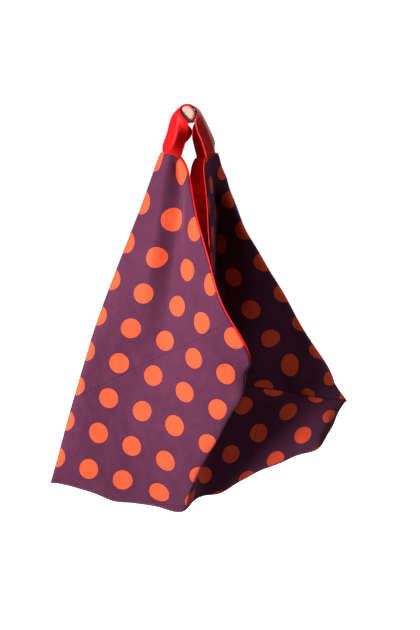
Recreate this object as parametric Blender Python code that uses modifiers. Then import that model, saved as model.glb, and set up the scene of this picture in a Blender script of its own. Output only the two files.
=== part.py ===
"""Origami shoulder bag on a wall peg: a strip of three squares folded and sewn at two slanting
seams, its two peaks cut off and joined by a red handle that hangs over a wooden peg.

Metres, +Z up. The peg's wall end is at the origin and the peg runs towards -Y, the bag's front."""

import math

import bpy
import numpy as np
from mathutils import Vector
from mathutils.geometry import delaunay_2d_cdt

CELLS = 16  # cells along a side of a square
ROUNDS = 60  # of settling
FOLD_WIDTH = 0.03  # of the cloth that turns at a fold, in squares
FOLD_GIVE = 0.9  # how much easier the cloth bends on a fold
SOFT_ROUNDS = 6  # that ease what is still too sharp
SHARPEST = 130  # degrees between two neighbouring cells
SETTLING = 0.45  # of the push taken in one round
SOFTENING = 0.5  # of the bend taken out in one soft round
REACH = 0.3  # cells from a named point to the grid point that stands for it
SHARP_FOLDS = 6  # the first rows of FOLDS are real folds; the others only guide the net
CUT_CELLS = 3  # cells cut off each peak, along each of its two edges

CLOTH = 0.0012  # outer cloth
LINING = 0.0010
GAP = 0.0003  # between pieces that touch
HANDLE_INSIDE = CLOTH / 2  # the strap's own thickness, either side of its middle
HANDLE_OUTSIDE = CLOTH + 0.0004
HANDLE_FOOT = 5 * GAP  # from a cut end to the strap's middle surface
HANDLE_COLUMNS = 9

PEG_RADIUS = 0.011
PEG_LENGTH = 0.222
PEG_END_ROUNDING = 0.005
PEG_SIDES = 32

# Where points of the pattern hang. across and down are measured from the strip's first corner
# in tenths of a diagonal, along the diagonals of the squares; x, y and z are in millimetres.
POINTS = """
name           across     down     x     y     z
left_front     0.9375   0.9375   -10  -200   -60
left_crease0   0.3125   0.9375   -28  -207   -54
left_fold0          0   0.9375   -38  -185   -53
left_back     -0.9375   0.9375   -22  -145   -62
left_fold1          0      3.2   -93  -200  -184
left_fold2          0      5.7  -145  -218  -314
left_fold3          0      8.2  -183  -238  -440
left_corner         0       10  -212  -243  -540
mouth_a1            2        2    13  -258  -144
mouth_a2          3.4      3.4    43  -303  -244
mouth_a3          4.6      4.6    88  -309  -330
valley              5        5    82  -276  -352
panel1            1.6      3.2   -19  -235  -206
panel2              2      5.7   -42  -240  -345
panel3              2      8.2   -85  -245  -480
panel4              3      5.2     9  -268  -338
panel5              3      7.2   -20  -263  -440
bottom1             2       10  -115  -240  -572
ridge1           4.65      5.6    80  -300  -384
ridge2           4.25        7    44  -290  -456
ridge3           3.95      8.3    11  -275  -522
bottom2           3.7     9.75   -12  -246  -590
inner1            6.9      6.9    36  -164  -402
inner2              6      7.8    27  -190  -456
inner3              5      8.8    11  -209  -528
bottom3           4.4     9.85    11  -223  -578
seam1             8.5      8.5   162  -155  -426
right1              7      9.2   107  -166  -489
right5              8      9.2   152  -161  -456
bottom4             7     10.4   140  -186  -538
bottom5             8     11.2   203  -172  -522
bottom6             5     10.2    46  -206  -585
bottom7             9     11.2   232  -132  -492
right2              9     10.2   220  -164  -464
right_corner       10       10   250  -140  -447
right_fold4        10     11.2   225  -150  -406
right_fold3        10     12.2   194  -157  -358
right_fold2        10     14.2   133  -185  -262
right_fold1        10     16.2    75  -210  -164
right_top          10     17.2    44  -217  -116
right_side        9.4       17    66  -196  -120
right_fold0        10  19.0625    40  -198   -54
right_front   10.9375  19.0625    26  -226   -60
right_back     9.0625  19.0625    12  -140   -62
mouth_c1         12.3     17.7    30  -262  -152
mouth_c2         13.7     16.3    40  -288  -258
inner5           10.9     16.9    44  -180  -149
inner6           11.4     15.9    38  -175  -210
inner7           12.3     14.5    28  -172  -300
right3             11     14.2    92  -190  -284
right4             11     12.2   155  -168  -372
mouth_b1         -2.4      2.4   -32  -120  -168
mouth_b2         -3.9      3.9   -45   -90  -270
back_valley         5       15   -18   -85  -350
mouth_d1          7.6     17.6    -4  -128  -158
mouth_d2          6.2     16.2   -20  -100  -258
back1            -1.5      4.5   -95  -150  -250
back2              -3      5.5  -105  -102  -335
back3            -1.5      7.5  -145  -160  -435
back4             8.3     14.4   112  -122  -342
back5             8.4     16.4    64  -138  -224
back6             6.7     14.5    50   -75  -348
back_seam1          3       13  -105  -110  -455
back_seam2        1.5     11.5  -150  -172  -492
back7               7       13    98   -80  -445
back8             8.3       12   182  -128  -492
back9               5       13     2   -95  -458
back10              3     11.3   -88  -162  -535
back11              5     11.3    22  -150  -552
back12              7     11.7   122  -120  -515
back13            8.4     13.2   150  -100  -420
back14            9.2     12.1   240   -92  -436
"""

# The same point of a seam seen from its second edge.
SEWN = {"valley": (15, 15), "inner1": (13.1, 13.1), "seam1": (11.5, 11.5),
        "back_valley": (-5, 5), "back_seam1": (-3, 7), "back_seam2": (-1.5, 8.5)}

FOLDS = (
    "left_fold0 left_fold1 left_fold2 left_fold3 left_corner",
    "right_fold0 right_top right_fold1 right_fold2 right_fold3 right_fold4 right_corner",
    "left_corner bottom1 bottom2 bottom3 bottom6 bottom4 bottom5 bottom7 right_corner",
    "valley ridge1 ridge2 ridge3 bottom2",
    "inner1 inner2 inner3 bottom3",
    "inner5 inner6 inner7 inner1'",
    "mouth_a1 panel1 panel2 panel3 bottom1",
    "panel4 panel5",
    "back_valley back9 back11",
)

# The strap from its left foot over the peg to its right foot: its front edge, a soft crease in
# its front half, its outer fold and its back edge.
STRAP = """
   fx    fy    fz     cx    cy    cz     ox    oy    oz     bx    by    bz
   -8  -203   -50    -23  -215   -47    -37  -182   -46    -18  -147   -50
   -1  -205   -30    -15  -221   -29    -31  -183   -30     -9  -148   -34
  0.5  -216   -20  -14.5  -221   -18    -28  -183   -19     -1  -149   -22
    3  -227   -11  -13.5  -220    -8    -25  -182    -8    -12  -150   -10
-10.5  -227   1.5  -13.5  -216     3    -19  -181     2  -13.5  -149     2
   -8  -219    10   -8.5  -212    10    -10  -181    10   -8.5  -146    10
    0  -218  12.7      0  -210  12.7      0  -181  12.9      0  -145  12.7
  8.2  -217    10    8.5  -202    10     10  -181    10    8.5  -145    10
 13.2  -217     4     15  -201     4     17  -182     4   13.4  -145     3
 13.5  -219    -4     18  -205    -4     21  -184    -4     13  -144    -7
 14.5  -222   -14     22  -208   -13     26  -187   -13      4  -141   -19
   20  -227   -27     28  -211   -26     32  -190   -26      3  -141   -29
   22  -229   -42     32  -213   -41     38  -192   -41      8  -143   -45
"""


def table(text):
    """The rows of a table as dictionaries."""
    lines = [line.split() for line in text.strip().splitlines()]
    rows = []
    for line in lines[1:]:
        rows.append({key: value if key == "name" else float(value) for key, value in zip(lines[0], line)})
    return rows


def on_strip(across, down):
    """A pattern point along and down the strip, in squares."""
    return Vector(((across + down) / 10, (down - across) / 10))


class Net:
    """The pattern's folded net: where any point of the strip hangs."""

    def __init__(self):
        flat, self.hung, index = [], [], {}
        for row in table(POINTS):
            place = np.array([row["x"], row["y"], row["z"]]) / 1000
            names = [(row["name"], (row["across"], row["down"]))]
            if row["name"] in SEWN:
                names.append((row["name"] + "'", SEWN[row["name"]]))
            for name, at in names:
                index[name] = len(flat)
                flat.append(on_strip(*at))
                self.hung.append(place)
        edges = []
        for line in FOLDS:
            names = line.split()
            edges += [(index[a], index[b]) for a, b in zip(names, names[1:])]
        self.sharp = [(np.array(flat[index[a]][:]), np.array(flat[index[b]][:]))
                      for line in FOLDS[:SHARP_FOLDS]
                      for a, b in zip(line.split(), line.split()[1:])]
        self.named = [(np.array(at[:]), place) for at, place in zip(flat, self.hung)]
        found = delaunay_2d_cdt(flat, edges, [], 0, 1e-5)
        self.flat = np.array([v[:] for v in found[0]])
        self.hung = np.array([self.hung[source[0]] for source in found[3]])
        self.faces = np.array([f for f in found[2]])

    def hang(self, point):
        """The hung place of a point of the strip, within the triangle of the net that it lies in."""
        a, b, c = (self.flat[self.faces[:, k]] for k in range(3))
        whole = np.cross(b - a, c - a)
        share_b = np.cross(point - a, c - a) / whole
        share_c = np.cross(b - a, point - a) / whole
        share_a = 1 - share_b - share_c
        best = np.argmax(np.minimum(np.minimum(share_a, share_b), share_c))
        shares = np.array([share_a[best], share_b[best], share_c[best]]).clip(0, 1)
        return (shares / shares.sum()) @ self.hung[self.faces[best]]


def sewn_key(i, j):
    """Grid points that a seam makes one share a key. i runs along the strip, j down it."""
    n = CELLS
    if j == 0 and i > 2 * n:
        return (4 * n - i, 0)
    if j == n and i < n:
        return (2 * n - i, n)
    return (i, j)


def strip_grid():
    """Keys of the strip's grid points and its triangles, with the two peaks cut off."""
    n, cut = CELLS, CUT_CELLS
    faces = []
    for i in range(3 * n):
        for j in range(n):
            corners = [(i, j), (i, j + 1), (i + 1, j + 1), (i + 1, j)]
            first, last = i + j, (3 * n - 1 - i) + (n - 1 - j)
            if first < cut - 1 or last < cut - 1:
                continue
            if first == cut - 1:
                triangles = [(corners[1], corners[2], corners[3])]
            elif last == cut - 1:
                triangles = [(corners[0], corners[1], corners[3])]
            elif n <= i < 2 * n and abs(i + j + 1 - 2 * n) < 2:
                triangles = [(corners[0], corners[1], corners[3]), (corners[1], corners[2], corners[3])]
            else:
                triangles = [(corners[0], corners[1], corners[2]), (corners[0], corners[2], corners[3])]
            faces += triangles
    return faces


class Bender:
    """How much a grid bends at each of its points, and the push that takes it out."""

    def __init__(self, faces, count):
        sides = {}
        for k, f in enumerate(faces):
            for a, b in ((f[0], f[1]), (f[1], f[2]), (f[2], f[0])):
                sides.setdefault((min(a, b), max(a, b)), []).append(k)
        rim = {v for edge, beside in sides.items() if len(beside) == 1 for v in edge}
        ends, near = [], []
        for (a, b), beside in sides.items():
            for v, w in ((a, b), (b, a)):
                if v not in rim or len(beside) == 1:
                    ends.append(v)
                    near.append(w)
        self.ends, self.near, self.count = np.array(ends), np.array(near), count
        self.total = np.bincount(self.ends, minlength=count)[:, None]
        self.pairs = np.array([pair for pair in sides.values() if len(pair) == 2])

    def gathered(self, values, into):
        return np.stack([np.bincount(into, values[:, k], self.count) for k in range(3)], axis=1)

    def bend(self, points):
        return self.gathered(points[self.near], self.ends) / self.total - points

    def push(self, bend):
        return self.gathered((bend / self.total)[self.ends], self.near) - bend


def to_lines(points, lines):
    """Distance of each flat point to the nearest of some flat stretches."""
    nearest = np.full(len(points), 1e9)
    for a, b in lines:
        run = b - a
        share = ((points - a) @ run / (run @ run)).clip(0, 1)
        nearest = np.minimum(nearest, np.linalg.norm(points - a - share[:, None] * run, axis=1))
    return nearest


def settled(points, places, faces, net, fixed):
    """The hung cloth: smooth between the net's named points, and bent most at its folds."""
    bender = Bender(faces, len(points))
    held = [(np.argmin(np.linalg.norm(places - at, axis=1)), at, place) for at, place in net.named]
    kept = points[fixed].copy()
    stiff = 1 - FOLD_GIVE * np.exp(-(to_lines(places, net.sharp) / FOLD_WIDTH) ** 2)[:, None]
    for _ in range(ROUNDS):
        points = points - SETTLING * bender.push(stiff * bender.bend(points))
        for v, at, place in held:
            if np.linalg.norm(places[v] - at) < REACH / CELLS:
                points[v] = place
        points[fixed] = kept
    moving = np.ones((len(points), 1))
    for _ in range(SOFT_ROUNDS):
        points = points + SOFTENING * moving * bender.bend(points)
        points[fixed] = kept
        moving[:] = 0  # after the first round only what still turns too sharply moves
        a, b, c = (points[faces[:, k]] for k in range(3))
        facing = np.cross(b - a, c - a)
        facing /= np.linalg.norm(facing, axis=1)[:, None]
        turned = (facing[bender.pairs[:, 0]] * facing[bender.pairs[:, 1]]).sum(axis=1)
        moving[np.unique(faces[bender.pairs[turned < math.cos(math.radians(SHARPEST))]])] = 1
    return points


def base_surface():
    """The inner face of the outer cloth: points, triangles and the two cut ends."""
    net = Net()
    faces, keys, places = [], {}, {}
    for triangle in strip_grid():
        face = []
        for corner in triangle:
            v = keys.setdefault(sewn_key(*corner), len(keys))
            places[v] = np.array(corner) / CELLS
            face.append(v)
        faces.append(tuple(face))
    places = np.array([places[v] for v in range(len(keys))])
    points = np.array([net.hang(at) for at in places])
    n, cut = CELLS, CUT_CELLS
    left = [keys[sewn_key(cut - k, k)] for k in range(cut + 1)]
    right = [keys[sewn_key(3 * n - k, n - cut + k)] for k in range(cut + 1)]
    faces = np.array(faces)
    return settled(points, places, faces, net, left + right), faces, left, right


def add_mesh(name, points, faces, where, colour, roughness):
    mesh = bpy.data.meshes.new(name)
    mesh.from_pydata([tuple(p) for p in points], [], [tuple(int(v) for v in f) for f in faces])
    piece = bpy.data.objects.new(name, mesh)
    where.objects.link(piece)
    return finished(piece, colour, roughness)


def finished(piece, colour, roughness):
    """Gives a piece a material of its own."""
    material = bpy.data.materials.new(piece.name)
    material.use_nodes = True
    shader = material.node_tree.nodes["Principled BSDF"]
    shader.inputs["Base Color"].default_value = (*colour, 1)
    shader.inputs["Roughness"].default_value = roughness
    piece.data.materials.append(material)
    return piece


def thickened(piece, lift, thickness):
    """Makes an open surface a sheet: it lifts it along its normals, then thickens it outwards,
    or inwards where the thickness is negative."""
    if lift:
        move = piece.modifiers.new("lift", "DISPLACE")
        move.strength = lift
        move.mid_level = 0
    sheet = piece.modifiers.new("thickness", "SOLIDIFY")
    sheet.thickness = abs(thickness)
    sheet.offset = math.copysign(1, thickness)


def along(line, shares):
    """Points at shares of a polyline's length."""
    line = np.array(line)
    steps = np.concatenate([[0], np.cumsum(np.linalg.norm(np.diff(line, axis=0), axis=1))])
    return np.stack([np.interp(np.array(shares) * steps[-1], steps, line[:, k]) for k in range(3)], axis=1)


def strap_surface(points, left, right):
    """The strap's middle surface, from just above one cut end to just above the other."""
    columns = HANDLE_COLUMNS
    rows = []
    for row in table(STRAP):
        line = [[row[side + axis] / 1000 for axis in "xyz"] for side in "fcob"]
        rows.append(along(line, np.linspace(0, 1, columns)))
    for foot, first in ((left, 0), (right, -1)):
        end = along(points[foot], np.linspace(0, 1, columns))
        towards = rows[first] - end
        end = end + towards * (HANDLE_FOOT / np.linalg.norm(towards, axis=1))[:, None]
        rows.insert(0, end) if first == 0 else rows.append(end)
    grid = np.array(rows)
    faces = []
    for i in range(len(rows) - 1):
        for j in range(columns - 1):
            a = i * columns + j
            faces += [(a, a + columns, a + 1), (a + 1, a + columns, a + columns + 1)]
    return grid.reshape(-1, 3), np.array(faces)


def add_peg(where):
    """A round peg along -Y: its wall end is flat, its free end rounded."""
    bpy.ops.mesh.primitive_cylinder_add(vertices=PEG_SIDES, radius=PEG_RADIUS, depth=PEG_LENGTH,
                                        location=(0, -PEG_LENGTH / 2, 0), rotation=(math.pi / 2, 0, 0))
    peg = bpy.context.object
    peg.name = peg.data.name = "peg"
    bpy.ops.object.transform_apply(location=True, rotation=True, scale=True)
    weight = peg.data.attributes.new("bevel_weight_edge", "FLOAT", "EDGE")
    for edge in peg.data.edges:
        ends = [peg.data.vertices[v].co.y for v in edge.vertices]
        weight.data[edge.index].value = max(ends) < -PEG_LENGTH / 2
    rounding = peg.modifiers.new("rounding", "BEVEL")
    rounding.limit_method = "WEIGHT"
    rounding.width = PEG_END_ROUNDING
    rounding.segments = 4
    for collection in list(peg.users_collection):
        collection.objects.unlink(peg)
    where.objects.link(peg)
    return finished(peg, (0.72, 0.5, 0.42), 0.6)


def main():
    for old in list(bpy.data.objects):
        bpy.data.objects.remove(old)
    parts = bpy.data.collections.new("origami_shoulder_bag")
    bpy.context.scene.collection.children.link(parts)
    points, faces, left, right = base_surface()
    outer = add_mesh("outer_cloth", points, faces, parts, (0.16, 0.05, 0.11), 0.5)
    thickened(outer, 0, CLOTH)
    lining = add_mesh("lining", points, faces, parts, (0.75, 0.02, 0.03), 0.5)
    thickened(lining, -GAP, -LINING)
    handle = add_mesh("handle", *strap_surface(points, left, right), parts, (0.8, 0.01, 0.02), 0.5)
    thickened(handle, -HANDLE_INSIDE, HANDLE_INSIDE + HANDLE_OUTSIDE)
    add_peg(parts)


main()
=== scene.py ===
"""Origami shoulder bag on a wall peg: the looks of its cloth, lining, handle and peg.

The bag is one strip of three squares, folded and sewn at two slanting seams. Every sheet here
starts from that flat pattern, so its print and creases lie where they do on the cut cloth."""

import math
from collections import Counter

import bmesh
import bpy
import numpy as np
from bpy.props import FloatProperty, FloatVectorProperty, IntProperty
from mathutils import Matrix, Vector, noise
from mathutils.geometry import delaunay_2d_cdt


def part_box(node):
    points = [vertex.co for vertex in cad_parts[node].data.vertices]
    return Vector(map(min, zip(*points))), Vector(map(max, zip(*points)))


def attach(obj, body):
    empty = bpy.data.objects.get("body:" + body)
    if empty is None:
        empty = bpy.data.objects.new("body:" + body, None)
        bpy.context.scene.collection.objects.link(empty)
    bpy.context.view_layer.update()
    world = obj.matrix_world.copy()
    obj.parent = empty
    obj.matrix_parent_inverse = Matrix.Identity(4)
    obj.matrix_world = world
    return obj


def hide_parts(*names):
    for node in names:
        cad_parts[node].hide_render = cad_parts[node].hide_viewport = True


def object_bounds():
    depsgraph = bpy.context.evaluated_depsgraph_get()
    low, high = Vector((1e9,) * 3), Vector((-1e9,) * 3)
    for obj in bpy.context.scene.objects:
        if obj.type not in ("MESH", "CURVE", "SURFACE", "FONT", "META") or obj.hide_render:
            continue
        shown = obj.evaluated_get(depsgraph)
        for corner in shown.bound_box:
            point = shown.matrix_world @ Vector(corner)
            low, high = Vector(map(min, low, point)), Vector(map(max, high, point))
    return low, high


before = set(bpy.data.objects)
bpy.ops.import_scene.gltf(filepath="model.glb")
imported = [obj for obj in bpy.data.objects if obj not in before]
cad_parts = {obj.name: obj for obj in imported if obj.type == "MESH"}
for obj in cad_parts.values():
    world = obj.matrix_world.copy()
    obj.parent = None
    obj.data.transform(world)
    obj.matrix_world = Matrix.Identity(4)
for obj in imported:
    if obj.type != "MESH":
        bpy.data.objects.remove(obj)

bl_info = {
    "name": "Origami Shoulder Bag",
    "version": (1, 0, 0),
    "blender": (4, 5, 0),
    "location": "View3D > Sidebar > Origami Bag",
    "description": "Builds a polka-dot origami shoulder bag that hangs from a wall peg",
    "category": "Add Mesh",
}

cad_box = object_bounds()
BODY = "root"

PEAK_CUT = 3 / 16  # of a square, cut off each peak along its two edges
TENTH_MM = 56.57  # a tenth of a 0.4 m square's diagonal

# Where points of the pattern hang. across and down are measured from the strip's first corner
# in tenths of a diagonal, along the diagonals of the squares; x, y and z are in millimetres.
POINTS = """
name           across     down     x     y     z
left_front     0.9375   0.9375   -10  -200   -60
left_crease0   0.3125   0.9375   -28  -207   -54
left_fold0          0   0.9375   -37  -185   -53
left_back     -0.9375   0.9375   -22  -145   -62
left_fold1          0      3.2   -93  -200  -184
left_fold2          0      5.7  -145  -218  -314
left_fold3          0      8.2  -183  -238  -440
left_corner         0       10  -212  -243  -545
mouth_a1            2        2    13  -258  -144
mouth_a2          3.4      3.4    43  -303  -244
mouth_a3          4.6      4.6    88  -309  -330
valley              5        5    82  -276  -352
panel1            1.6      3.2   -19  -235  -206
panel2              2      5.7   -42  -240  -345
panel3              2      8.2   -85  -245  -480
panel4              3      5.2     9  -268  -338
panel5              3      7.2   -20  -263  -440
bottom1             2       10  -115  -240  -578
ridge1           4.65      5.6    80  -300  -384
ridge2           4.25        7    44  -290  -456
ridge3           3.95      8.3    11  -275  -522
bottom2           3.7     9.75   -12  -246  -594
inner1            6.9      6.9    36  -164  -402
inner2              6      7.8    27  -190  -456
inner3              5      8.8    11  -209  -528
bottom3           4.4     9.85    11  -223  -578
seam1             8.5      8.5   162  -155  -426
right1              7      9.2   107  -187  -482
right5              8      9.2   151  -180  -450
bottom4             7     10.4   140  -186  -538
bottom5             8     11.2   203  -172  -522
bottom6             5     10.2    46  -206  -585
bottom7             9     11.2   232  -132  -492
right2              9     10.2   220  -164  -464
right_corner       10       10   254  -140  -447
right_fold4        10     11.2   225  -150  -406
right_fold3        10     12.2   201  -157  -358
right_fold2        10     14.2   142  -187  -262
right_fold1        10     16.2    75  -210  -164
right_top          10     17.2    44  -217  -116
right_side        9.4       17    69  -196  -120
right_fold0        10  19.0625    40  -198   -54
right_front   10.9375  19.0625    26  -226   -60
right_back     9.0625  19.0625    12  -140   -62
mouth_c1         12.3     17.7    30  -262  -152
mouth_c2         13.7     16.3    40  -288  -258
inner5           10.9     16.9    44  -180  -149
inner6           11.4     15.9    38  -175  -210
inner7           12.3     14.5    28  -172  -300
right3             11     14.2    92  -190  -284
right4             11     12.2   155  -168  -372
mouth_b1         -2.4      2.4   -32  -120  -168
mouth_b2         -3.9      3.9   -45   -90  -270
back_valley         5       15   -18   -85  -350
mouth_d1          7.6     17.6    -4  -128  -158
mouth_d2          6.2     16.2   -20  -100  -258
back1            -1.5      4.5   -95  -150  -250
back2              -3      5.5  -105  -102  -335
back3            -1.5      7.5  -145  -160  -435
back4             8.3     14.4   112  -122  -342
back5             8.4     16.4    64  -138  -224
back6             6.7     14.5    50   -75  -348
back_seam1          3       13  -105  -110  -455
back_seam2        1.5     11.5  -150  -172  -492
back7               7       13    98   -80  -445
back8             8.3       12   182  -128  -492
back9               5       13     2   -95  -458
back10              3     11.3   -88  -162  -535
back11              5     11.3    22  -150  -552
back12              7     11.7   122  -120  -515
back13            8.4     13.2   150  -100  -420
back14            9.2     12.1   240   -92  -436
shoulder2           1      2.2   -24  -215  -148
shoulder3           1      3.2   -44  -222  -202
shoulder4           2      3.2     2  -248  -216
right_side0       9.6       18    57  -198   -85
right_side2       9.7     15.5   106  -198  -196
right_side3      9.85     14.2   149  -182  -262
under_seam1     7.325    7.875    89  -179  -415
under_seam2     8.225    8.775   160  -175  -428
under_seam3     8.975    9.525   206  -166  -439
over_seam1     12.125   12.675    91  -177  -401
over_seam2     11.225   11.775   161  -172  -414
over_seam3     10.475   11.025   205  -163  -425
"""

# The same point of a seam seen from its second edge.
SEWN = {"valley": (15, 15), "inner1": (13.1, 13.1), "seam1": (11.5, 11.5),
        "back_valley": (-5, 5), "back_seam1": (-3, 7), "back_seam2": (-1.5, 8.5)}

FOLDS = (
    "left_fold0 left_fold1 left_fold2 left_fold3 left_corner",
    "right_fold0 right_top right_fold1 right_fold2 right_fold3 right_fold4 right_corner",
    "left_corner bottom1 bottom2 bottom3 bottom6 bottom4 bottom5 bottom7 right_corner",
    "valley ridge1 ridge2 ridge3 bottom2",
    "inner1 inner2 inner3 bottom3",
    "inner5 inner6 inner7 inner1'",
    "mouth_a1 panel1 panel2 panel3 bottom1",
    "panel4 panel5",
    "back_valley back9 back11",
    "right_fold0 right_side0 right_side right_side2 right_side3 right_fold3",
    "under_seam1 under_seam2 under_seam3",
    "over_seam1 over_seam2 over_seam3",
)

# The strap from its left foot over the peg to its right foot: its front edge, a soft crease in
# its front half, its outer fold and its back edge.
STRAP = """
   fx    fy    fz     cx    cy    cz     ox    oy    oz     bx    by    bz
   -8  -203   -50    -23  -215   -47    -38  -182   -46    -18  -147   -50
   -1  -205   -30    -15  -221   -29    -31  -183   -30      2  -148   -35
  0.5  -216   -20  -14.5  -221   -18    -28  -183   -19      6  -149   -24
    3  -227   -11  -13.5  -220    -8    -25  -182    -8      2  -150   -17
   -4  -227    -6  -13.8  -219    -4    -23  -181    -4    -11  -150    -9
-10.5  -227   1.5  -13.5  -216     3    -19  -181     2  -13.5  -149     2
   -8  -219    10   -8.5  -212    10    -10  -181    10   -8.5  -146    10
    0  -218  12.7      0  -210  12.7      0  -181  12.9      0  -145  12.7
  8.2  -217    10    8.5  -202    10     10  -181    10    8.5  -145    10
 12.7  -217     4     15  -201     4     17  -182     4   13.4  -145     3
 12.3  -219    -5     18  -205    -4     21  -184    -4   11.8  -144  -8.5
   10  -222   -14     22  -208   -13     26  -187   -13      5  -141   -18
   15  -227   -27     28  -211   -26     32  -190   -26      4  -141   -29
   22  -229   -42     33  -213   -41     40  -192   -41      8  -143   -45
"""

# Soft ridges and troughs of the hung cloth. Rows of one name make one line. across and down are
# as in POINTS; width and lift are in millimetres, lift outwards.
CREASES = """
name         across   down  width  lift
left_ridge     0.30   0.94     11   4.0
left_ridge     0.53   1.80     12   6.5
left_ridge     0.86   3.00     16   6.5
left_ridge     1.15   4.10     22   4.0
left_ridge     1.40   5.60     28     0
left_trough    0.72   0.94     10  -7.0
left_trough    1.02   1.65     13 -11.0
left_trough    1.42   3.05     18 -11.0
left_trough    1.75   4.40     24  -6.0
left_trough    2.10   5.90     30     0
mouth_ridge    1.70   2.60     12     0
mouth_ridge    2.40   3.60     13   4.5
mouth_ridge    3.60   4.90     17   4.0
mouth_ridge    4.10   6.00     20     0
"""

# Lines across the strip where it was folded flat, in squares from its first corner.
PRESSED_FOLDS = (0.767, 1.605)

PRESSED_WIDTH = 0.006  # from such a line to flat cloth, in squares
SEAM_SHADE_WIDTH = 0.012  # of the painted shade beside a seam, in squares

SHARP_FOLDS = 6  # the first rows of FOLDS are real folds; the others only guide the net
FOLD_WIDTH = 0.020  # of the flat cloth that turns at a fold, in squares
FOLD_GIVE = 0.93  # how much easier the cloth bends on a fold
ROUNDS = 320  # of settling
SETTLING = 0.45  # of the push taken in one round
FOLD_ROUNDS = 60  # of straightening the side folds
LAST_ROUNDS = 64  # of settling with straight side folds
SOFT_ROUNDS = 3
SOFTENING = 0.5  # of the bend taken out in one soft round

UNEVEN = 0.8  # millimetres of slow unevenness in hung cloth
UNEVEN_SCALE = 0.55  # of its waves for each tenth of a diagonal
UNEVEN_LAYER = 3.1  # the slice of the noise that it is taken from
SIDE_FADE = 0.8  # tenths of a diagonal from a side fold, where it dies out
CUT_FADE = 0.15  # tenths of a diagonal from a cut end, where all creases die out

MERGE = 1e-5  # squares; points of the pattern that are this near are one
TINY = 1e-6


def table(text):
    """The rows of a table as dictionaries."""
    lines = [line.split() for line in text.strip().splitlines()]
    return [{key: value if key == "name" else float(value) for key, value in zip(lines[0], line)}
            for line in lines[1:]]


# ---------------------------------------------------------------------------- settings


class BagClothSettings(bpy.types.PropertyGroup):
    """Sizes and colours of the printed cloth and its lining."""

    cells: IntProperty(name="Cells", default=48, min=16, step=16,
                       description="Cells along a side of a square before subdivision")
    cloth: FloatProperty(name="Cloth", description="Thickness of the printed cloth",
                         default=0.0012, precision=4, unit="LENGTH")
    lining: FloatProperty(name="Lining", description="Thickness of the lining",
                          default=0.001, precision=4, unit="LENGTH")
    gap: FloatProperty(name="Gap", description="Room between the cloth and its lining",
                       default=0.0003, precision=4, unit="LENGTH")
    roll: FloatProperty(name="Roll", default=0.002, precision=4, unit="LENGTH",
                        description="How far the lining shows past the cloth at the mouth")
    dot: FloatProperty(name="Dot", description="Dot diameter, as a share of the dots' spacing",
                       default=0.53, min=0.1, max=0.95)
    plum: FloatVectorProperty(name="Plum", description="Colour of the printed cloth's ground",
                              subtype="COLOR", default=(0.070, 0.016, 0.038), min=0, max=1)
    orange: FloatVectorProperty(name="Orange", description="Colour of the dots",
                                subtype="COLOR", default=(0.86, 0.085, 0.025), min=0, max=1)
    red: FloatVectorProperty(name="Red", description="Colour of the lining",
                             subtype="COLOR", default=(0.88, 0.006, 0.008), min=0, max=1)


class BagHandleSettings(bpy.types.PropertyGroup):
    """Sizes and colour of the handle."""

    inside: FloatProperty(name="Inside", default=0.0007, precision=4, unit="LENGTH",
                          description="From the strap's middle surface to its inner face")
    outside: FloatProperty(name="Outside", default=0.0017, precision=4, unit="LENGTH",
                           description="From the strap's middle surface to its outer face")
    foot: FloatProperty(name="Foot", description="From the cloth's cut end to the strap's end",
                        default=-0.0015, precision=4, unit="LENGTH")
    red: FloatVectorProperty(name="Red", description="Colour of the handle",
                             subtype="COLOR", default=(0.62, 0.001, 0.003), min=0, max=1)


class BagPegSettings(bpy.types.PropertyGroup):
    """Finish of the peg."""

    rounding: FloatProperty(name="Rounding", description="Radius round the peg's free end",
                            default=0.004, precision=4, unit="LENGTH")
    pale: FloatVectorProperty(name="Pale wood", description="Lighter colour of the grain",
                              subtype="COLOR", default=(0.66, 0.42, 0.35), min=0, max=1)
    dark: FloatVectorProperty(name="Dark wood", description="Darker colour of the grain",
                              subtype="COLOR", default=(0.50, 0.27, 0.23), min=0, max=1)


class BagStageSettings(bpy.types.PropertyGroup):
    """Camera, lights and floor."""

    drop: FloatProperty(name="Drop", description="From the bag's lowest point to the floor",
                        default=0.5, unit="LENGTH")
    glow: FloatProperty(name="Glow", description="Brightness of the white surroundings",
                        default=1.0)
    sky: FloatProperty(name="Sky", description="Light from all sides", default=0.04)
    lens: FloatProperty(name="Lens", description="Focal length in millimetres", default=45.7)
    tilt: FloatProperty(name="Tilt", description="How far the camera looks down", subtype="ANGLE",
                        default=math.radians(13))
    eye: FloatVectorProperty(name="Eye", description="Place of the camera", subtype="TRANSLATION",
                             default=(0.0314, -1.3618, -0.0224), unit="LENGTH")


# ---------------------------------------------------------------------------- the pattern


def on_strip(across, down):
    """The place along and across the strip, in squares, of a point of the pattern."""
    return np.array([(across + down) / 10, (down - across) / 10])


def on_pattern(u, v):
    """The pattern's point, in tenths of a diagonal, at a place of the strip in squares."""
    return 5 * (u - v), 5 * (u + v)


def from_stretch(points, a, b):
    """Each flat point's distance to the stretch from a to b, and its share of the way along."""
    run = b - a
    share = ((points - a) @ run / (run @ run)).clip(0, 1)
    return np.linalg.norm(points - a - share[:, None] * run, axis=1), share


def rim_of(edges):
    """The points on the edges that only one face has."""
    return {v for edge, times in edges.items() if times == 1 for v in edge}


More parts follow.
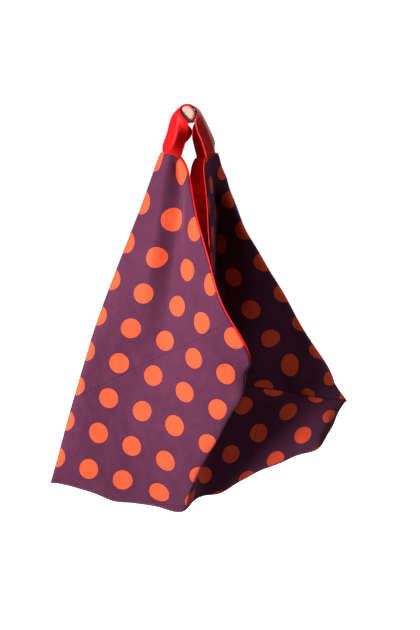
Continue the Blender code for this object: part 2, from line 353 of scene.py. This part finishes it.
class Net:
    """The pattern's folded net: where any point of the strip hangs."""

    def __init__(self):
        flat, places, index = [], [], {}
        for row in table(POINTS):
            place = np.array([row["x"], row["y"], row["z"]]) / 1000
            names = [(row["name"], (row["across"], row["down"]))]
            if row["name"] in SEWN:
                names.append((row["name"] + "'", SEWN[row["name"]]))
            for name, at in names:
                index[name] = len(flat)
                flat.append(Vector(on_strip(*at)))
                places.append(place)
        lines = [[index[name] for name in line.split()] for line in FOLDS]
        edges = [pair for line in lines for pair in zip(line, line[1:])]
        self.sharp = [(np.array(flat[a][:]), np.array(flat[b][:]))
                      for line in lines[:SHARP_FOLDS] for a, b in zip(line, line[1:])]
        self.named = [(np.array(at[:]), place) for at, place in zip(flat, places)]
        found = delaunay_2d_cdt(flat, edges, [], 0, MERGE)
        self.flat = np.array([v[:] for v in found[0]])
        self.hung = np.array([places[source[0]] for source in found[3]])
        self.faces = np.array(found[2])

    def hang(self, point):
        """The hung place of a point of the strip, within the net's triangle that it lies in."""
        a, b, c = (self.flat[self.faces[:, k]] for k in range(3))
        whole = np.cross(b - a, c - a)
        share_b = np.cross(point - a, c - a) / whole
        share_c = np.cross(b - a, point - a) / whole
        share_a = 1 - share_b - share_c
        best = np.argmax(np.minimum(np.minimum(share_a, share_b), share_c))
        shares = np.array([share_a[best], share_b[best], share_c[best]]).clip(0, 1)
        return (shares / shares.sum()) @ self.hung[self.faces[best]]


class Strip:
    """The strip as a grid of cells, sewn into a bag: grid points that a seam joins are one."""

    def __init__(self, cells):
        n = self.cells = cells
        cut = round(cells * PEAK_CUT)
        self.keys, self.faces, self.corners = {}, [], []
        for i in range(3 * n):
            for j in range(n):
                cell = [(i, j), (i + 1, j), (i + 1, j + 1), (i, j + 1)]
                first, last = i + j, (3 * n - 1 - i) + (n - 1 - j)
                if min(first, last) < cut - 1:
                    continue
                if first == cut - 1:
                    cell = cell[1:]
                elif last == cut - 1:
                    cell = [cell[0], cell[1], cell[3]]
                cell.reverse()
                self.faces.append([self.key(*corner) for corner in cell])
                self.corners.append(cell)
        self.places = np.zeros((len(self.keys), 2))
        for cell, face in zip(self.corners, self.faces):
            for (i, j), v in zip(cell, face):
                self.places[v] = (i / n, j / n)
        self.left = [self.key(cut - k, k) for k in range(cut + 1)]
        self.right = [self.key(3 * n - k, n - cut + k) for k in range(cut + 1)]
        half = cut // 2 + cut % 2
        self.side_folds = ([self.key(k, k) for k in range(half, n + 1)],
                           [self.key(3 * n - k, n - k) for k in range(half, n + 1)])

    def joined(self, i, j):
        """The corner that a seam joins this one to, or the corner itself."""
        n = self.cells
        if j == 0 and i > 2 * n:
            return 4 * n - i, j
        if j == n and i < n:
            return 2 * n - i, j
        return i, j

    def key(self, i, j):
        return self.keys.setdefault(self.joined(i, j), len(self.keys))

    def share_of(self, at):
        """The four grid points round a flat point, with their shares."""
        n = self.cells
        u, v = min(at[0] * n, 3 * n - TINY), min(max(at[1] * n, 0), n - TINY)
        i, j = int(u), int(v)
        du, dv = u - i, v - j
        corners = [self.joined(*corner)
                   for corner in ((i, j), (i + 1, j), (i, j + 1), (i + 1, j + 1))]
        shares = [(1 - du) * (1 - dv), du * (1 - dv), (1 - du) * dv, du * dv]
        found = [(self.keys[corner], share) for corner, share in zip(corners, shares)
                 if corner in self.keys and share > TINY]
        total = sum(share for _, share in found)
        return [v for v, _ in found], np.array([share / total for _, share in found])


class Bender:
    """How much a grid bends at each of its points, and the push that takes it out."""

    def __init__(self, faces, count):
        beside = Counter((min(a, b), max(a, b))
                         for face in faces for a, b in zip(face, face[1:] + face[:1]))
        rim = rim_of(beside)
        ends, near = [], []
        for (a, b), times in beside.items():
            for v, w in ((a, b), (b, a)):
                if v not in rim or times == 1:
                    ends.append(v)
                    near.append(w)
        self.ends, self.near, self.count = np.array(ends), np.array(near), count
        self.total = np.bincount(self.ends, minlength=count)[:, None]

    def spread(self, values, into):
        return np.stack([np.bincount(into, values[:, k], self.count) for k in range(3)], axis=1)

    def bend(self, points):
        return self.spread(points[self.near], self.ends) / self.total - points

    def push(self, bend):
        return self.spread((bend / self.total)[self.ends], self.near) - bend


def settled(strip, net):
    """The hung cloth: smooth between the net's named points, and bent most at its folds."""
    points = np.array([net.hang(at) for at in strip.places])
    bender = Bender(strip.faces, len(points))
    held = [(strip.share_of(at), place) for at, place in net.named]
    ends = strip.left + strip.right
    kept = points[ends].copy()
    to_fold = np.min([from_stretch(strip.places, a, b)[0] for a, b in net.sharp], axis=0)
    stiff = 1 - FOLD_GIVE * np.exp(-(to_fold / FOLD_WIDTH) ** 2)[:, None]
    for _ in range(ROUNDS):
        points = points - SETTLING * bender.push(stiff * bender.bend(points))
        for (corners, shares), place in held:
            missing = place - shares @ points[corners]
            points[corners] += shares[:, None] * missing / (shares @ shares)
        points[ends] = kept
    for fold in strip.side_folds:
        for _ in range(FOLD_ROUNDS):
            points[fold[1:-1]] = (points[fold[:-2]] + 2 * points[fold[1:-1]] + points[fold[2:]]) / 4
    ends = ends + strip.side_folds[0] + strip.side_folds[1]
    kept = points[ends].copy()
    for _ in range(LAST_ROUNDS):
        points = points - SETTLING * bender.push(stiff * bender.bend(points))
        points[ends] = kept
    for _ in range(SOFT_ROUNDS):
        points = points + SOFTENING * bender.bend(points)
        points[ends] = kept
    return points


HUNG = {}  # by the number of cells


def hung_strip(cells):
    """The settled cloth and its pattern, which the cloth, the lining and the handle share."""
    if cells not in HUNG:
        strip = Strip(cells)
        HUNG[cells] = (strip, settled(strip, Net()))
    return HUNG[cells]


# ---------------------------------------------------------------------------- making meshes


def deselect():
    bpy.ops.object.select_all(action="DESELECT")


def select(piece):
    deselect()
    piece.select_set(True)
    bpy.context.view_layer.objects.active = piece


def apply_all(piece):
    select(piece)
    for modifier in list(piece.modifiers):
        bpy.ops.object.modifier_apply(modifier=modifier.name)


def add_surface(name, points, faces, patterns):
    """A mesh with its flat pattern, in tenths of a square's diagonal, as its UV map."""
    mesh = bpy.data.meshes.new(name)
    mesh.from_pydata([tuple(p) for p in points], [], faces)
    layer = mesh.uv_layers.new(name="pattern")
    layer.data.foreach_set("uv", np.array(patterns, dtype=np.float32).ravel())
    piece = bpy.data.objects.new(name, mesh)
    bpy.context.scene.collection.objects.link(piece)
    select(piece)
    bpy.ops.object.shade_smooth()
    return piece


def subdivide(piece, levels):
    smooth = piece.modifiers.new("finer", "SUBSURF")
    smooth.levels = smooth.render_levels = levels
    smooth.uv_smooth = "NONE"
    smooth.boundary_smooth = "PRESERVE_CORNERS"
    apply_all(piece)


def co_of(mesh):
    co = np.zeros(len(mesh.vertices) * 3)
    mesh.vertices.foreach_get("co", co)
    return co.reshape(-1, 3)


def normals_of(mesh):
    normal = np.zeros(len(mesh.vertices) * 3)
    mesh.vertices.foreach_get("normal", normal)
    return normal.reshape(-1, 3)


def set_co(mesh, co):
    mesh.vertices.foreach_set("co", co.ravel())
    mesh.update()


def pattern_of(mesh):
    """Each point's place on the flat pattern. A seam's point has two, and gives its first."""
    uv = np.zeros(len(mesh.loops) * 2)
    vertex = np.zeros(len(mesh.loops), dtype=int)
    mesh.uv_layers["pattern"].data.foreach_get("uv", uv)
    mesh.loops.foreach_get("vertex_index", vertex)
    place = np.zeros((len(mesh.vertices), 2))
    place[vertex[::-1]] = uv.reshape(-1, 2)[::-1]
    return place


def sheet_thickness(piece, lift, thickness):
    """Lifts an open surface along its normals, then thickens it: inwards where negative."""
    if lift:
        move = piece.modifiers.new("lift", "DISPLACE")
        move.strength = lift
        move.mid_level = 0
    sheet = piece.modifiers.new("thickness", "SOLIDIFY")
    sheet.thickness = abs(thickness)
    sheet.offset = math.copysign(1, thickness)
    apply_all(piece)


def crease(mesh):
    """Adds the soft ridges and troughs, and a little unevenness, along the normals."""
    place = pattern_of(mesh)
    lift = np.zeros(len(place))
    lines = {}
    for row in table(CREASES):
        marks = [row[key] for key in ("across", "down", "width", "lift")]
        lines.setdefault(row["name"], []).append(np.array(marks))
    for line in lines.values():
        nearest = np.full(len(place), np.inf)
        bump = np.zeros(len(place))
        for one, other in zip(line, line[1:]):
            away, share = from_stretch(place, one[:2], other[:2])
            away *= TENTH_MM
            width, high = (one[k] + share * (other[k] - one[k]) for k in (2, 3))
            closer = away < nearest
            nearest[closer] = away[closer]
            bump[closer] = (high * np.exp(-(away / width) ** 2))[closer]
        lift += bump
    rough = np.array([noise.noise((across * UNEVEN_SCALE, down * UNEVEN_SCALE, UNEVEN_LAYER))
                      for across, down in place])
    side_fold = np.minimum(abs(place[:, 0]), abs(place[:, 0] - 10))
    lift += UNEVEN * rough * (1 - np.exp(-(side_fold / SIDE_FADE) ** 2))
    cut = np.minimum(place[:, 1] - 5 * PEAK_CUT, 20 - 5 * PEAK_CUT - place[:, 1])
    lift *= 1 - np.exp(-(cut / CUT_FADE) ** 2)
    set_co(mesh, co_of(mesh) + lift[:, None] / 1000 * normals_of(mesh))


def hung_cloth(name, settings):
    """The hung, creased, open surface that both cloth sheets are made from."""
    strip, points = hung_strip(settings.cells)
    n = settings.cells
    patterns = [on_pattern(i / n, j / n) for cell in strip.corners for i, j in cell]
    piece = add_surface(name, points, strip.faces, patterns)
    subdivide(piece, 1)
    crease(piece.data)
    return piece


# ---------------------------------------------------------------------------- materials


class Nodes:
    """A material's node tree, with short calls that add and link nodes."""

    def __init__(self, name):
        self.material = bpy.data.materials.new(name)
        self.material.use_nodes = True
        self.tree = self.material.node_tree
        self.shader = self.tree.nodes["Principled BSDF"]

    def add(self, kind, inputs=None, **values):
        node = self.tree.nodes.new("ShaderNode" + kind)
        for key, value in values.items():
            setattr(node, key, value)
        for key, value in (inputs or {}).items():
            self.feed(node, key, value)
        return node

    def feed(self, node, key, value):
        if isinstance(value, bpy.types.NodeSocket):
            self.tree.links.new(value, node.inputs[key])
        else:
            node.inputs[key].default_value = value

    def math(self, operation, *values):
        return self.add("Math", dict(enumerate(values)), operation=operation).outputs[0]

    def ramp(self, value, stops):
        node = self.add("ValToRGB", {"Fac": value})
        for element, (position, colour) in zip(node.color_ramp.elements, stops):
            element.position = position
            element.color = (*colour, 1)
        return node.outputs["Color"]

    def noise(self, where, scale, detail=2.0, roughness=0.5):
        inputs = {"Vector": where, "Scale": scale, "Detail": detail, "Roughness": roughness}
        return self.add("TexNoise", inputs).outputs["Fac"]

    def between(self, value, low, high, out_low=0.0, out_high=1.0):
        inputs = {"Value": value, "From Min": low, "From Max": high,
                  "To Min": out_low, "To Max": out_high}
        return self.add("MapRange", inputs, interpolation_type="SMOOTHSTEP").outputs["Result"]

    def mix(self, share, one, other):
        node = self.add("Mix", data_type="RGBA")
        for key, value in ((0, share), (6, one), (7, other)):
            if not isinstance(value, bpy.types.NodeSocket) and key:
                value = (*value[:3], 1)
            self.feed(node, key, value)
        return node.outputs[2]

    def bump(self, height, strength, distance, under=None):
        inputs = {"Height": height, "Strength": strength, "Distance": distance}
        if under is not None:
            inputs["Normal"] = under
        return self.add("Bump", inputs).outputs["Normal"]

    def finish(self, colour, roughness, normal=None, **constants):
        self.feed(self.shader, "Base Color", colour)
        self.feed(self.shader, "Roughness", roughness)
        if normal is not None:
            self.feed(self.shader, "Normal", normal)
        for key, value in constants.items():
            self.shader.inputs[key.replace("_", " ")].default_value = value
        return self.material


def scaled(colour, share):
    return tuple(c * share for c in colour[:3])


def weave_height(nodes, where, threads):
    """Plain weave: warp and weft humps that take turns on top."""
    parts = nodes.add("SeparateXYZ", {"Vector": where})
    turn = 2 * math.pi * threads
    warp = nodes.math("SINE", nodes.math("MULTIPLY", parts.outputs["X"], turn))
    weft = nodes.math("SINE", nodes.math("MULTIPLY", parts.outputs["Y"], turn))
    return nodes.math("MULTIPLY", warp, weft)


def strip_lines(nodes, pattern):
    """Places on the flat strip, in squares: along it, and how far the nearest sewn edge is."""
    parts = nodes.add("SeparateXYZ", {"Vector": pattern})
    across, down = parts.outputs["X"], parts.outputs["Y"]
    along = nodes.math("MULTIPLY", nodes.math("ADD", across, down), 0.1)
    aside = nodes.math("MULTIPLY", nodes.math("SUBTRACT", down, across), 0.1)
    front = nodes.math("ADD", aside, nodes.math("LESS_THAN", along, 1.0))
    back = nodes.math("ADD", nodes.math("SUBTRACT", 1.0, aside),
                      nodes.math("GREATER_THAN", along, 2.0))
    return along, nodes.math("MINIMUM", front, back)


def pressed(nodes, along):
    """0 on the lines where the strip was folded flat, 1 away from them."""
    found = None
    for fold in PRESSED_FOLDS:
        off = nodes.math("ABSOLUTE", nodes.math("SUBTRACT", along, fold))
        found = off if found is None else nodes.math("MINIMUM", found, off)
    return nodes.between(found, 0.0, PRESSED_WIDTH)


DOT_SHIFT = (0.5, 0.3, 0.0)  # of the dots' grid, in tenths of a diagonal
DOT_MIDDLE = (0.5, 0.5, 0.0)
IN_PLANE = (1.0, 1.0, 0.0)
DOT_EDGE = 0.006  # half of the dots' soft edge
DOT_WOBBLE = 0.003  # of the dots' edge
# painted shade: the dark colour mixed into the cloth on the pressed fold lines, standing in for the
# shade in those creases
PAINTED_CREASE_SHADE = (0.02, 0.005, 0.01)
# painted shade: the dark colour that the cloth beside a seam is mixed towards, standing in for the
# seam fold's shadow
PAINTED_SEAM_SHADE = (0.012, 0.002, 0.006)


def printed_cloth(settings):
    """Plum cloth printed with orange-red dots, one for each tenth of a diagonal both ways."""
    nodes = Nodes("plum_dotted_cloth")
    pattern = nodes.add("UVMap", uv_map="pattern").outputs["UV"]
    shifted = nodes.add("VectorMath", {0: pattern, 1: DOT_SHIFT}, operation="ADD").outputs[0]
    wobble = nodes.noise(pattern, 46.0, 3.0)
    cell = nodes.add("VectorMath", {0: shifted}, operation="FRACTION").outputs[0]
    off = nodes.add("VectorMath", {0: cell, 1: DOT_MIDDLE}, operation="SUBTRACT").outputs[0]
    flat = nodes.add("VectorMath", {0: off, 1: IN_PLANE}, operation="MULTIPLY").outputs[0]
    radius = nodes.add("VectorMath", {0: flat}, operation="LENGTH").outputs["Value"]
    radius = nodes.math("ADD", radius, nodes.between(wobble, 0.2, 0.8, -DOT_WOBBLE, DOT_WOBBLE))
    edge = settings.dot / 2
    dot = nodes.between(radius, edge - DOT_EDGE, edge + DOT_EDGE, 1.0, 0.0)
    blotch = nodes.noise(pattern, 1.7, 3.0, 0.6)
    grain = nodes.noise(pattern, 70.0, 2.0, 0.7)
    plum, orange = settings.plum, settings.orange
    ground = nodes.ramp(blotch, ((0.25, scaled(plum, 0.82)), (0.8, scaled(plum, 1.2))))
    ground = nodes.mix(nodes.between(grain, 0.3, 0.9, 0.0, 0.35), ground, scaled(plum, 1.5))
    ink = nodes.ramp(grain, ((0.2, scaled(orange, 0.9)), (0.85, scaled(orange, 1.06))))
    colour = nodes.mix(dot, ground, ink)
    along, seam = strip_lines(nodes, pattern)
    fold = pressed(nodes, along)
    # painted shade on the pressed fold lines: the cloth is darkened a little there, as if in a
    # crease's shade
    colour = nodes.mix(nodes.math("MULTIPLY", nodes.math("SUBTRACT", 1.0, fold), 0.15),
                       colour, PAINTED_CREASE_SHADE)
    # painted shade along the seams: the cloth is darkened near each sewn edge, as if in the fold's
    # shadow
    colour = nodes.mix(nodes.between(seam, 0.0, SEAM_SHADE_WIDTH, 0.8, 0.0), colour, PAINTED_SEAM_SHADE)
    weave = nodes.bump(weave_height(nodes, pattern, 110), 0.12, 0.0002)
    slub = nodes.bump(nodes.noise(pattern, 30.0, 4.0, 0.65), 0.16, 0.0006, weave)
    soft = nodes.bump(nodes.noise(pattern, 2.2, 3.0, 0.5), 0.3, 0.009, slub)
    line = nodes.bump(fold, 0.4, 0.0012, soft)
    rough = nodes.between(grain, 0.2, 0.9, 0.56, 0.64)
    return nodes.finish(colour, rough, line, Sheen_Weight=0.5, Sheen_Roughness=0.5,
                        Sheen_Tint=(0.9, 0.36, 0.62, 1), Specular_IOR_Level=0.1,
                        Specular_Tint=(1.0, 0.36, 0.64, 1))


def plain_cloth(name, red, threads):
    """Plain red cloth."""
    nodes = Nodes(name)
    pattern = nodes.add("UVMap", uv_map="pattern").outputs["UV"]
    blotch = nodes.noise(pattern, 1.4, 3.0, 0.6)
    grain = nodes.noise(pattern, 60.0, 2.0, 0.7)
    colour = nodes.ramp(blotch, ((0.25, scaled(red, 0.86)), (0.8, scaled(red, 1.1))))
    colour = nodes.mix(nodes.between(grain, 0.35, 0.9, 0.0, 0.3), colour, scaled(red, 0.75))
    weave = nodes.bump(weave_height(nodes, pattern, threads), 0.12, 0.0002)
    soft = nodes.bump(nodes.noise(pattern, 2.5, 3.0, 0.55), 0.2, 0.004, weave)
    line = nodes.bump(pressed(nodes, strip_lines(nodes, pattern)[0]), 0.6, 0.001, soft)
    rough = nodes.between(grain, 0.2, 0.9, 0.55, 0.7)
    return nodes.finish(colour, rough, line, Sheen_Weight=0.08, Sheen_Roughness=0.45,
                        Sheen_Tint=(1.0, 0.45, 0.4, 1), Specular_IOR_Level=0.25)


def peg_wood(settings):
    """Pale sanded wood: rings on the end, long grain on the side."""
    nodes = Nodes("peg_wood")
    place = nodes.add("TexCoord").outputs["Object"]
    bent = nodes.add("Mapping", {"Vector": place, "Scale": (1.0, 0.06, 1.0)}).outputs["Vector"]
    warp = nodes.noise(bent, 40.0, 3.0)
    rings = nodes.add("TexWave", {"Vector": bent, "Scale": 120.0, "Distortion": 4.0, "Detail": 2.0,
                                  "Detail Scale": 1.5}, wave_type="RINGS",
                      rings_direction="Y").outputs["Fac"]
    share = nodes.math("ADD", nodes.math("MULTIPLY", rings, 0.5), nodes.math("MULTIPLY", warp, 0.5))
    colour = nodes.ramp(share, ((0.25, settings.dark[:3]), (0.75, settings.pale[:3])))
    pores = nodes.noise(bent, 900.0, 2.0)
    colour = nodes.mix(nodes.between(pores, 0.6, 0.8, 0.0, 0.3), colour, scaled(settings.dark, 0.6))
    normal = nodes.bump(pores, 0.2, 0.0003)
    return nodes.finish(colour, nodes.between(share, 0.2, 0.8, 0.42, 0.58), normal,
                        Specular_IOR_Level=0.4)


def dress(piece, material):
    piece.data.materials.clear()
    piece.data.materials.append(material)


# ---------------------------------------------------------------------------- the pieces


class BAG_OT_outer_cloth(bpy.types.Operator):
    """Add the printed outer cloth, hung in its folds."""

    bl_idname = "bag.outer_cloth"
    bl_label = "Outer cloth"

    def execute(self, context):
        settings = context.scene.bag_cloth
        piece = hung_cloth("printed_cloth", settings)
        sheet_thickness(piece, 0, settings.cloth)
        dress(piece, printed_cloth(settings))
        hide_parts("outer_cloth")
        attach(piece, BODY)
        return {"FINISHED"}


AT_MOUTH = 1e-3  # squares from the strip's long and short edges


def rolled_edge(mesh, roll):
    """Draws the mouth's edge of the lining out past the cloth."""
    place = pattern_of(mesh)
    edges = Counter(key for polygon in mesh.polygons for key in polygon.edge_keys)
    rim = rim_of(edges)
    co = co_of(mesh)
    near = {}
    for a, b in edges:
        for v, w in ((a, b), (b, a)):
            if v in rim and w not in rim:
                near[v] = w
    moved = co.copy()
    for v, w in near.items():
        along, aside = on_strip(*place[v])
        if min(abs(aside), abs(1 - aside), abs(along), abs(3 - along)) < AT_MOUTH:
            out = co[v] - co[w]
            moved[v] = co[v] + out / np.linalg.norm(out) * roll
    set_co(mesh, moved)


class BAG_OT_lining(bpy.types.Operator):
    """Add the plain lining inside the outer cloth."""

    bl_idname = "bag.lining"
    bl_label = "Lining"

    def execute(self, context):
        settings = context.scene.bag_cloth
        piece = hung_cloth("red_lining", settings)
        rolled_edge(piece.data, settings.roll)
        sheet_thickness(piece, -settings.gap, -settings.lining)
        dress(piece, plain_cloth("red_lining_cloth", settings.red, 120))
        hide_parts("lining")
        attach(piece, BODY)
        return {"FINISHED"}


def along_line(line, shares):
    """Points at shares of a polyline's length."""
    line = np.array(line)
    steps = np.concatenate([[0], np.cumsum(np.linalg.norm(np.diff(line, axis=0), axis=1))])
    return np.stack([np.interp(np.array(shares) * steps[-1], steps, line[:, k])
                     for k in range(3)], axis=1)


# Where the strap's long lines run: shares of its front edge to crease, crease to fold, and fold
# to back edge.
STRAP_STRETCHES = ((0, 0.06, 0.45, 0.86), (0, 0.14, 0.5, 0.86), (0, 0.14, 0.5, 0.95, 1))
STRAP_FEET = ((0, 1 / 3, 0.5, 1), (0, 0.25, 0.5, 1))  # the same lines on the two cut ends
STRAP_ROW = 0.3  # the strap's print: tenths of a diagonal from one cross line to the next
STRAP_WIDTH = 1.6  # and across it


def stretched(marks):
    """Marks of the strap's four leading lines, with the lines between them filled in."""
    return [a + (b - a) * share for a, b, shares in zip(marks, marks[1:], STRAP_STRETCHES)
            for share in shares]


def strap_rows(points, strip, foot):
    """The strap's cross lines, from just above one cut end to just above the other."""
    rows = []
    for row in table(STRAP):
        rows.append(np.array(stretched([np.array([row[line + axis] / 1000 for axis in "xyz"])
                                        for line in "fcob"])))
    for ends, first, marks in ((strip.left, 0, STRAP_FEET[0]), (strip.right, -1, STRAP_FEET[1])):
        line = along_line(points[ends], stretched(marks))
        towards = rows[first] - line
        line = line + towards * (foot / np.linalg.norm(towards, axis=1))[:, None]
        rows.insert(0, line) if first == 0 else rows.append(line)
    return rows


class BAG_OT_handle(bpy.types.Operator):
    """Add the short red handle that joins the bag's two cut peaks over the peg."""

    bl_idname = "bag.handle"
    bl_label = "Handle"

    def execute(self, context):
        settings = context.scene.bag_handle
        strip, points = hung_strip(context.scene.bag_cloth.cells)
        rows = strap_rows(points, strip, settings.foot)
        columns = rows[0].shape[0]
        faces, patterns = [], []
        for i in range(len(rows) - 1):
            for j in range(columns - 1):
                a = i * columns + j
                faces.append((a, a + columns, a + columns + 1, a + 1))
                for row, column in ((i, j), (i + 1, j), (i + 1, j + 1), (i, j + 1)):
                    patterns.append((row * STRAP_ROW, column / (columns - 1) * STRAP_WIDTH))
        piece = add_surface("handle_strap", np.concatenate(rows), faces, patterns)
        subdivide(piece, 2)
        sheet_thickness(piece, -settings.inside, settings.inside + settings.outside)
        dress(piece, plain_cloth("red_handle_cloth", settings.red, 90))
        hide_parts("handle")
        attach(piece, BODY)
        return {"FINISHED"}


AT_END = 1e-4  # metres from the peg's free end


class BAG_OT_peg(bpy.types.Operator):
    """Add the wall peg with its rounded free end."""

    bl_idname = "bag.peg"
    bl_label = "Peg"

    def execute(self, context):
        settings = context.scene.bag_peg
        low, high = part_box("peg")
        length = high.y - low.y
        deselect()
        bpy.ops.mesh.primitive_cylinder_add(
            vertices=96, radius=high.x, depth=length,
            location=(0, -length / 2, 0), rotation=(math.pi / 2, 0, 0))
        peg = context.object
        peg.name = peg.data.name = "wall_peg"
        bpy.ops.object.transform_apply(location=True, rotation=True, scale=True)
        bpy.ops.object.mode_set(mode="EDIT")
        bpy.ops.mesh.select_mode(type="EDGE")
        bpy.ops.mesh.select_all(action="DESELECT")
        cage = bmesh.from_edit_mesh(peg.data)
        for edge in cage.edges:
            edge.select_set(all(v.co.y < -length + AT_END for v in edge.verts))
        bmesh.update_edit_mesh(peg.data)
        bpy.ops.mesh.bevel(offset=settings.rounding, segments=8, profile=0.5)
        bpy.ops.object.mode_set(mode="OBJECT")
        bpy.ops.object.shade_smooth_by_angle(angle=math.radians(40))
        dress(peg, peg_wood(settings))
        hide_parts("peg")
        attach(peg, BODY)
        return {"FINISHED"}


# ---------------------------------------------------------------------------- the stage


LIGHTS = """
name   x     y     z    size  power
key   -2.2  -2.0   0.1   0.8  205
right  2.0  -0.9   0.2   0.8   11
back   0.6   1.8   0.5   1.6   20
"""
MIDDLE_DEPTH = -0.2  # where in y the lights point
FLOOR_SIZE = 40
ROOM_RADIUS = 16


def add_light(row, target):
    light = bpy.data.lights.new(row["name"], "AREA")
    light.size = row["size"]
    light.energy = row["power"]
    lamp = bpy.data.objects.new(row["name"], light)
    lamp.location = (row["x"], row["y"], row["z"])
    lamp.rotation_euler = (target - lamp.location).to_track_quat("-Z", "Y").to_euler()
    bpy.context.scene.collection.objects.link(lamp)


class BAG_OT_stage(bpy.types.Operator):
    """Add the floor, the soft lights, the pale surroundings and the camera."""

    bl_idname = "bag.stage"
    bl_label = "Stage"

    def execute(self, context):
        scene = context.scene
        settings = scene.bag_stage
        low, high = cad_box
        deselect()
        bpy.ops.mesh.primitive_plane_add(size=FLOOR_SIZE, location=(0, 0, low.z - settings.drop))
        floor = context.object
        floor.name = floor.data.name = "floor"
        bpy.ops.mesh.primitive_uv_sphere_add(segments=64, ring_count=32, radius=ROOM_RADIUS)
        room = context.object
        room.name = room.data.name = "white_room"
        for backdrop, name in ((floor, "pale_floor"), (room, "pale_room")):
            nodes = Nodes(name)
            place = nodes.add("TexCoord").outputs["Object"]
            shade = nodes.ramp(nodes.noise(place, 3.0, 3.0),
                               ((0.3, (0.88, 0.88, 0.88)), (0.7, (0.9, 0.9, 0.9))))
            dress(backdrop, nodes.finish(shade, 0.8, Emission_Color=(1, 1, 1, 1),
                                         Emission_Strength=settings.glow))
            backdrop.visible_diffuse = backdrop.visible_glossy = False
            backdrop.visible_shadow = backdrop.visible_transmission = False
        world = bpy.data.worlds.new("dim_sky")
        world.use_nodes = True
        sky = world.node_tree.nodes["Background"]
        sky.inputs["Color"].default_value = (1, 1, 1, 1)
        sky.inputs["Strength"].default_value = settings.sky
        scene.world = world
        target = Vector((0, MIDDLE_DEPTH, (low.z + high.z) / 2))
        for row in table(LIGHTS):
            add_light(row, target)
        data = bpy.data.cameras.new("camera")
        data.sensor_fit = "VERTICAL"
        data.sensor_height = 36
        data.lens = settings.lens
        camera = bpy.data.objects.new("camera", data)
        camera.location = settings.eye
        camera.rotation_euler = (math.pi / 2 - settings.tilt, 0, 0)
        scene.collection.objects.link(camera)
        scene.camera = camera
        scene.view_settings.view_transform = "Standard"
        return {"FINISHED"}


class BAG_PT_panel(bpy.types.Panel):
    """The bag's pieces and their settings."""

    bl_label = "Origami Bag"
    bl_idname = "BAG_PT_panel"
    bl_space_type = "VIEW_3D"
    bl_region_type = "UI"
    bl_category = "Origami Bag"

    def draw(self, context):
        for operator in OPERATORS:
            self.layout.operator(operator.bl_idname)
        for name, _ in SETTINGS:
            box = self.layout.box()
            group = getattr(context.scene, name)
            for field in group.__annotations__:
                box.prop(group, field)


SETTINGS = (
    ("bag_cloth", BagClothSettings),
    ("bag_handle", BagHandleSettings),
    ("bag_peg", BagPegSettings),
    ("bag_stage", BagStageSettings),
)
OPERATORS = (BAG_OT_peg, BAG_OT_handle, BAG_OT_outer_cloth, BAG_OT_lining, BAG_OT_stage)


def register():
    for name, group in SETTINGS:
        bpy.utils.register_class(group)
        setattr(bpy.types.Scene, name, bpy.props.PointerProperty(type=group))
    for part in (*OPERATORS, BAG_PT_panel):
        bpy.utils.register_class(part)


def unregister():
    for part in (BAG_PT_panel, *reversed(OPERATORS)):
        bpy.utils.unregister_class(part)
    for name, group in reversed(SETTINGS):
        delattr(bpy.types.Scene, name)
        bpy.utils.unregister_class(group)


def main():
    register()
    bpy.ops.bag.peg()
    bpy.ops.bag.handle()
    bpy.ops.bag.outer_cloth()
    bpy.ops.bag.lining()
    bpy.ops.bag.stage()


if __name__ == "__main__":
    main()
